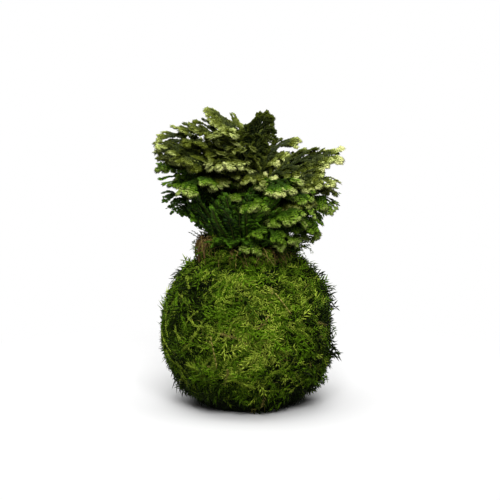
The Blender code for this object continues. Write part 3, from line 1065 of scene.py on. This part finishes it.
def twig_lines(blade, rng, settings):
    """The forking twigs of one spray: lines on the blade, each with its lift and slope."""
    pitch = settings.pitch
    spine = twig_line((0.0, 0.0), 0.0, blade.length, rng.normal(0.0, 0.06), pitch)
    lines = [(spine, 0.0, 0.0, 0)]
    way, side = settings.gap * 0.7, rng.choice(MIRROR)
    while way < 0.95 * blade.length:
        share = way / blade.length
        heading = side * math.radians(60 - 30 * share + rng.normal(0.0, 5.0))
        length = blade.room(way, heading) * rng.uniform(0.90, 1.06)
        slope = rng.normal(0.04, 0.17)
        if length > 2.2 * pitch:
            main = twig_line((way, 0.0), heading, length, -side * math.radians(16), pitch)
            lines.append((main, 0.0, slope, 1))
            add_side_twigs(lines, blade, rng, main, length, slope, pitch)
        side = -side
        way += 0.5 * settings.gap * rng.uniform(0.88, 1.12)
    return lines


def add_side_twigs(lines, blade, rng, main, length, slope, pitch):
    """Short twigs on both sides of a longer one."""
    every = max(int(round(SIDE_TWIG_GAP / pitch)), 2)
    turn = rng.choice(MIRROR)
    for index in range(every, len(main) - 1, max(every // 2, 1)):
        step = main[index] - main[index - 1]
        heading = math.atan2(step[1], step[0]) + turn * math.radians(rng.uniform(36, 52))
        left = length - index * pitch
        size = min(0.0035 + 0.40 * left, 0.011) * rng.uniform(0.8, 1.15)
        line = twig_line(main[index], heading, size, -turn * math.radians(14), pitch)
        keep = blade.inside(line[:, 0], line[:, 1])
        stop = len(line) if keep.all() else max(int(np.argmin(keep)), 2)
        lines.append((line[:stop], slope * index * pitch, slope + rng.normal(0.0, 0.16), 2))
        turn = -turn


def dress(pile, blade, look, line, lift, slope, order, rng, settings):
    """Set leaves along one twig: two ranks of side leaves, two of small top leaves, a lobe at the tip."""
    along, aside = line[:, 0], line[:, 1]
    count = len(line)
    ways = settings.pitch * np.arange(count)
    normals = blade.normal(along, aside)
    points = blade.spot(along, aside) + normals * (lift + slope * ways)[:, None]
    tangents = unit(np.gradient(points, axis=0))
    sides = unit(np.cross(normals, tangents))
    normals = np.cross(tangents, sides)
    share = np.arange(count) / max(count - 1, 1)
    inward = np.minimum(blade.length - along, blade.width(along) - np.abs(aside))
    pale = np.clip(1.0 - inward / FROST_DEPTH, 0.0, 1.0)
    tones = look.tone + look.frost * (0.82 * pale + 0.18 * share) * (0.35 if order == 0 else 1.0)
    size = look.leaf * settings.leaf * (lerp(0.78, 1.08, share) if order else np.full(count, 0.85))
    keep = slice(0 if order else 1, None)
    thick = {0: 0.00050, 1: 0.00036, 2: 0.00026}[order] * look.leaf
    pile.stalk(points, thick, 0.35, TWIG)
    for sign in MIRROR:
        turn = np.radians(66.0 - 44.0 * share**4 + rng.normal(0.0, 5.0, count))
        forward = tangents * np.cos(turn)[:, None] + sides * (sign * np.sin(turn))[:, None]
        forward = forward + normals * rng.normal(0.06, 0.12, (count, 1))
        tilt = normals + sides * (sign * rng.normal(0.22, 0.12, (count, 1)))
        sizes = size[:, None] * (1.0, look.slim, 1.0) * rng.uniform(0.86, 1.14, (count, 1))
        tone = tones + rng.normal(0.0, look.speckle_and_glints, count)
        pile.press(LEAF, points[keep], axes_along(forward, tilt)[keep], sizes[keep], tone[keep], look.hue)
        forward = tangents + sides * (sign * rng.uniform(0.15, 0.45, (count, 1))) + normals * 0.14
        feet = points + normals * (0.8 * thick) + sides * (sign * 0.0003)
        sizes = sizes * (0.62, 0.80, 0.8)
        pile.press(LEAF, feet[keep], axes_along(forward, normals)[keep], sizes[keep], tone[keep], look.hue)
    last = slice(count - 1, count)
    tip_tone = look.tone + look.frost * (0.16 + 0.84 * pale[last]) + rng.normal(0.0, 0.05)
    if look.lobe:
        length = look.lobe * (0.76 if order == 2 else 1.0) * rng.uniform(0.85, 1.15)
        forward = tangents[last] + normals[last] * rng.normal(-0.25, 0.18)
        tilt = normals[last] + sides[last] * rng.normal(0.0, 0.25)
        feet = points[last] - tangents[last] * (0.25 * length)
        pile.press(LOBE, feet, axes_along(forward, tilt), np.full((1, 3), length), tip_tone, look.hue)
    else:
        axes = axes_along(tangents[last], normals[last])
        pile.press(LEAF, points[last], axes, np.full((1, 3), size[-1]), tip_tone, look.hue)


def spray(pile, blade, look, rng, settings):
    """One whole flat fan of leafy twigs."""
    for line, lift, slope, order in twig_lines(blade, rng, settings):
        dress(pile, blade, look, line, lift, slope, order, rng, settings)


def side_sprays(tier, azimuth, reach, crest, tip, half):
    """Smaller sprays that leave the same stem below its frond: azimuth, controls, half width."""
    fork_radius, fork_height = TIERS[tier]
    turned = (azimuth + 180) % 360 - 180
    if tier == "skirt" or tier in ("low", "middle") and OPEN_FRONT[0] < turned < OPEN_FRONT[1]:
        return
    for turn, drop, share in ((22, 0.009, 0.92), (-20, 0.014, 0.80)):
        out = fork_radius + share * (reach - fork_radius)
        controls = (
            (fork_radius, fork_height - 0.004),
            (fork_radius + 0.003, lerp(fork_height, crest, 0.6) - drop),
            (lerp(fork_radius, out, 0.55), crest - drop + 0.004),
            (out, tip - drop),
        )
        yield azimuth + turn, controls, 0.78 * half


def comb_look(tone, bare, free, droops):
    """Dark leaves, narrow on the bare shoots at the front left, which carry painted shade and painted glints,
    paler with painted light where they stand free, and a little paler elsewhere.
    """
    if droops:
        return Look(DEEP, tone, 0.14, leaf=0.95, lobe=0.0)
    if free:
        # painted light on the shoots that stand free, with painted glints among their leaves
        return Look(DEEP, tone + 0.14, 0.14, leaf=1.50, lobe=0.0, slim=0.36, speckle_and_glints=0.09)
    if bare:
        # painted shade on the bare shoots, with painted glints among their leaves
        return Look(DEEP, 0.6 * tone, 0.10, leaf=1.40, lobe=0.0, slim=0.60, speckle_and_glints=0.10)
    return Look(DEEP, tone + 0.08, 0.24, leaf=1.15, lobe=0.0)


def comb(pile, azimuth, top_radius, top_height, rng, settings):
    """A shoot with its leaves in comb-like rows. Unless it stands free, it has short twigs too."""
    controls = (
        (0.0235, PLUG_TOP + 0.003),
        (0.0265, PLUG_TOP + 0.018),
        (top_radius - 0.003, top_height - 0.014),
        (top_radius + 0.003, top_height),
    )
    bare = OPEN_FRONT[0] < azimuth < OPEN_FRONT[1]
    free = bare and top_radius > FREE_BEYOND
    droops = top_height < DROOP_BELOW
    hang = 0.45 if droops else 0.0
    blade = Blade(azimuth, controls, COMB_HALF, rng.normal(0.0, 0.2), hang, rng.uniform(0.0, 6.0))
    look = comb_look(rng.uniform(0.02, 0.22), bare, free, droops)
    spine = twig_line((0.0, 0.0), 0.0, blade.length, rng.normal(0.0, 0.10), settings.pitch)
    dress(pile, blade, look, spine, 0.0, 0.0, 1, rng, settings)
    side = rng.choice(MIRROR)
    if free:
        return
    start, every, spread = (len(spine) // 2, 4, (26, 40)) if bare else (len(spine) // 3, 2, (36, 50))
    for index in range(start, len(spine) - 2, every):
        heading = side * math.radians(rng.uniform(*spread))
        length = rng.uniform(0.0045, 0.0085)
        line = twig_line(spine[index], heading, length, -0.2 * side, settings.pitch)
        dress(pile, blade, look, line, 0.0, rng.normal(0.0, 0.3), 2, rng, settings)
        side = -side


def fronds(settings, material):
    """Every frond of the plant with its side sprays and the combs near it, in place of its CAD fan."""
    combs = list(COMBS)
    for number, (tier, azimuth, reach, crest, tip, half, roll) in enumerate(FRONDS, start=1):
        rng = np.random.default_rng(500 + number)
        hue, tone, frost, hang = TIER_LOOK[tier]
        frost *= 0.90 + 0.18 * math.cos(math.radians(azimuth - FROST_SIDE))
        look = Look(hue, tone, frost)
        if tier == "middle" and OLIVE_SIDE[0] < azimuth < OLIVE_SIDE[1]:
            look.hue = OLIVE
        if (tier, azimuth) in ODD_FRONDS:
            look = Look(*ODD_FRONDS[tier, azimuth])
        pile = Pile()
        controls = frond_controls(tier, reach, crest, tip)
        blade = Blade(azimuth, controls, half, roll, hang, rng.uniform(0.0, 6.0))
        spray(pile, blade, look, rng, settings)
        for turned, controls, narrow in side_sprays(tier, azimuth, reach, crest, tip, half):
            twist = roll + rng.normal(0.0, 0.12)
            below = Blade(turned, controls, narrow, twist, 0.8 * hang, rng.uniform(0.0, 6.0))
            # painted shade: the sprays below a frond are darker, with less pale tips
            darker = (look.tone - 0.04, 0.75 * look.frost)
            under = Look(look.hue, *darker, leaf=0.94 * look.leaf, lobe=0.94 * look.lobe)
            spray(pile, below, under, rng, settings)
        if tier in ("skirt", "low"):
            for entry in list(combs):
                if abs((entry[0] - azimuth + 180) % 360 - 180) < COMB_SPREAD:
                    combs.remove(entry)
                    comb(pile, *entry, rng, settings)
        pile.make(f"leaves_{number:02d}", material, [f"frond_{number:02d}"])


# ---------------------------------------------------------------- operators

class KOKEDAMA_OT_moss(bpy.types.Operator):
    """Build the felt and the feathery shoots of the moss"""

    bl_idname = "kokedama.moss"
    bl_label = "Moss"

    def execute(self, context):
        moss = context.scene.kokedama_moss
        graph = Graph("moss felt", {"Roughness": 0.95, "Specular IOR Level": 0.15})
        blotch = graph.noise(70.0, 4.0)
        strand = graph.noise(900.0, 4.0, stretch=(1.0, 1.0, 0.35))
        mixed = (blotch * 0.8 + strand * 0.9 - 0.4).clamped()
        deep, green = np.array(moss.deep), np.array(moss.green)
        gold, straw = np.array(moss.gold), np.array(moss.straw)
        # the felt is painted near black: painted shade in the gaps between the shoots, over the moss's own
        # dark colour
        stops = run_of(0.4 * deep, deep, 0.45 * green)
        graph.feed(graph.shader.inputs["Base Color"], graph.ramp(mixed, stops))
        graph.bump(strand, 0.0006)
        moss_felt(moss, graph.material)
        runs = (
            run_of(deep, green, 1.55 * green),
            run_of(deep, 0.75 * gold, 1.35 * lerp(gold, straw, 0.35)),
            run_of(0.7 * deep, 0.55 * green, 0.8 * gold),
            run_of(0.25 * straw, straw, 1.2 * straw),
        )
        shoots = mapped_material("moss shoots", runs, {"Specular IOR Level": 0.06}, 0.28, 0.20)
        moss_shoots(moss, shoots)
        moss_strands(shoots)
        thread_piece(shoots)
        moss_collar(shoots)
        return {"FINISHED"}


class KOKEDAMA_OT_leaves(bpy.types.Operator):
    """Build the leafy fronds and finish their stems"""

    bl_idname = "kokedama.leaves"
    bl_label = "Leaves and stems"

    def execute(self, context):
        leaf = context.scene.kokedama_leaf
        deep, fresh, olive = (np.array(colour) for colour in (leaf.deep, leaf.fresh, leaf.olive))
        frost, twig, young = (np.array(colour) for colour in (leaf.frost, leaf.twig, leaf.young))
        shade = deep * (0.70, 0.95, 1.3)
        runs = (
            run_of(shade, lerp(shade, fresh, 0.40), fresh, lerp(young, frost, 0.30), frost),
            run_of(deep, lerp(deep, fresh, 0.60), lerp(fresh, young, 0.45), lerp(young, frost, 0.45), frost),
            run_of(deep * (1.3, 0.8, 1.0), lerp(deep, olive, 0.55), olive, lerp(young, frost, 0.45), frost),
            run_of(deep, twig, twig * 1.4),
        )
        material = mapped_material("spikemoss leaves", runs, {"Specular IOR Level": 0.12}, 0.80, 0.12)
        fronds(leaf, material)
        gloss = {"Specular IOR Level": 0.4}
        grain = (1.0, 1.0, 0.2)
        stems = fibrous_material("spikemoss stems", 0.35 * twig, twig, gloss, 320.0, grain, 0.0002)
        paint(stems, "stem_")
        return {"FINISHED"}


def paint(material, prefix):
    """Give a new finish to every CAD node whose name starts this way."""
    for name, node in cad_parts.items():
        if name.startswith(prefix):
            node.data.materials.clear()
            node.data.materials.append(material)


class KOKEDAMA_OT_dry(bpy.types.Operator):
    """Build the dry fibres and finish the withered stems, peat and roots"""

    bl_idname = "kokedama.dry"
    bl_label = "Dry parts"

    def execute(self, context):
        dry = context.scene.kokedama_dry
        low = {"Specular IOR Level": 0.2}
        pairs = (
            ("withered", "withered_stem_", dry.withered, 420.0, (1.0, 1.0, 0.15)),
            ("peat", "soil_core", dry.peat, 260.0, None),
            ("roots", "root_plug", dry.root, 340.0, (1.0, 1.0, 0.25)),
        )
        for name, prefix, colour, scale, stretch in pairs:
            pale = np.array(colour)
            paint(fibrous_material(name, 0.3 * pale, pale, low, scale, stretch, 0.0004), prefix)
        brown, straw = np.array(dry.withered), np.array(dry.straw)
        runs = (
            run_of(0.25 * brown, brown, lerp(brown, straw, 0.5)),
            run_of(0.30 * straw, straw, 1.4 * straw),
            run_of(0.15 * brown, 0.5 * brown, brown),
        )
        neck_fibres(dry, mapped_material("dry fibres", runs, {"Specular IOR Level": 0.15}, 0.7, 0.3))
        return {"FINISHED"}


KEY_PLACE = (0.08, -1.05, 0.92)
TOP_PLACE = (-0.05, 0.10, 1.20)
LOOK_AT = (0.0022, 0.0, 0.112)  # the camera's target
WHITE_FROM = 0.16  # the floor turns white beyond this distance from the plant


def floor_material(settings):
    """Pale matt floor near the plant that becomes plain white further out."""
    matt = {"Base Color": (*settings.floor, 1.0), "Roughness": 0.9, "Specular IOR Level": 0.0}
    graph = Graph("floor", matt)
    parts = graph.node("SeparateXYZ", {}, {0: graph.place()})
    x, y = Value(graph, parts.outputs[0]), Value(graph, parts.outputs[1])
    away = (x * x + y * y).math("SQRT")
    white = graph.node("Emission", {}, {"Color": (1.0, 1.0, 1.0, 1.0), "Strength": 1.0})
    share = ((away - WHITE_FROM) * 8.0).clamped()
    sockets = {0: share, 1: graph.shader.outputs[0], 2: white.outputs[0]}
    mixed = graph.node("MixShader", {}, sockets)
    output = graph.tree.nodes["Material Output"]
    graph.feed(output.inputs["Surface"], mixed.outputs[0])
    return graph.material


def area_light(name, power, size, place, target):
    """A square soft light that looks at a point."""
    data = bpy.data.lights.new(name, "AREA")
    data.energy = power
    data.size = size
    lamp = bpy.data.objects.new(name, data)
    lamp.location = place
    lamp.rotation_mode = "QUATERNION"
    lamp.rotation_quaternion = (Vector(target) - Vector(place)).to_track_quat("-Z", "Y")
    bpy.context.scene.collection.objects.link(lamp)


class KOKEDAMA_OT_stage(bpy.types.Operator):
    """Set out the floor, the lights, the white surround and the camera"""

    bl_idname = "kokedama.stage"
    bl_label = "Stage"

    def execute(self, context):
        stage = context.scene.kokedama_stage
        bm = bmesh.new()
        bmesh.ops.create_circle(bm, cap_ends=True, segments=64, radius=3.0)
        mesh = bpy.data.meshes.new("floor")
        bm.to_mesh(mesh)
        bm.free()
        floor = bpy.data.objects.new("floor", mesh)
        context.scene.collection.objects.link(floor)
        mesh.materials.append(floor_material(stage))
        floor.visible_diffuse = False

        middle = (CAD_LOW + CAD_HIGH) / 2
        area_light("key", stage.key, 0.60, KEY_PLACE, middle)
        area_light("top", stage.top, 1.7, TOP_PLACE, middle)

        world = bpy.data.worlds.new("surround")
        context.scene.world = world
        world.use_nodes = True
        nodes, links = world.node_tree.nodes, world.node_tree.links
        background = nodes["Background"]
        path = nodes.new("ShaderNodeLightPath")
        power = nodes.new("ShaderNodeMix")
        power.inputs["A"].default_value = stage.fill
        power.inputs["B"].default_value = 1.0
        links.new(path.outputs["Is Camera Ray"], power.inputs["Factor"])
        links.new(power.outputs["Result"], background.inputs["Strength"])
        background.inputs["Color"].default_value = (1.0, 1.0, 1.0, 1.0)
        context.scene.view_settings.view_transform = "Standard"

        data = bpy.data.cameras.new("camera")
        camera = bpy.data.objects.new("camera", data)
        context.scene.collection.objects.link(camera)
        data.lens = data.sensor_width * stage.distance / stage.view_width
        data.clip_start, data.clip_end = 0.01, 20.0
        target = Vector(LOOK_AT)
        back = Vector((0.0, -math.cos(stage.elevation), math.sin(stage.elevation)))
        camera.location = target + back * stage.distance
        camera.rotation_mode = "QUATERNION"
        camera.rotation_quaternion = (-back).to_track_quat("-Z", "Y")
        context.scene.camera = camera
        return {"FINISHED"}


OPERATORS = (KOKEDAMA_OT_stage, KOKEDAMA_OT_moss, KOKEDAMA_OT_leaves, KOKEDAMA_OT_dry)
GROUPS = {
    "kokedama_stage": StageSettings,
    "kokedama_moss": MossSettings,
    "kokedama_leaf": LeafSettings,
    "kokedama_dry": DrySettings,
}


class KOKEDAMA_PT_panel(bpy.types.Panel):
    """Sizes, colours and building steps of the kokedama"""

    bl_label = "Kokedama"
    bl_idname = "KOKEDAMA_PT_panel"
    bl_space_type = "VIEW_3D"
    bl_region_type = "UI"
    bl_category = "Kokedama"

    def draw(self, context):
        for (group, kind), operator in zip(GROUPS.items(), OPERATORS):
            box = self.layout.box()
            for name in kind.__annotations__:
                box.prop(getattr(context.scene, group), name)
            box.operator(operator.bl_idname)


def register():
    for kind in (*GROUPS.values(), *OPERATORS, KOKEDAMA_PT_panel):
        bpy.utils.register_class(kind)
    for name, kind in GROUPS.items():
        setattr(bpy.types.Scene, name, bpy.props.PointerProperty(type=kind))


def unregister():
    for name in GROUPS:
        delattr(bpy.types.Scene, name)
    for kind in reversed((*GROUPS.values(), *OPERATORS, KOKEDAMA_PT_panel)):
        bpy.utils.unregister_class(kind)


def main():
    register()
    bpy.ops.kokedama.stage()
    bpy.ops.kokedama.moss()
    bpy.ops.kokedama.leaves()
    bpy.ops.kokedama.dry()
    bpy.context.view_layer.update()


if __name__ == "__main__":
    main()
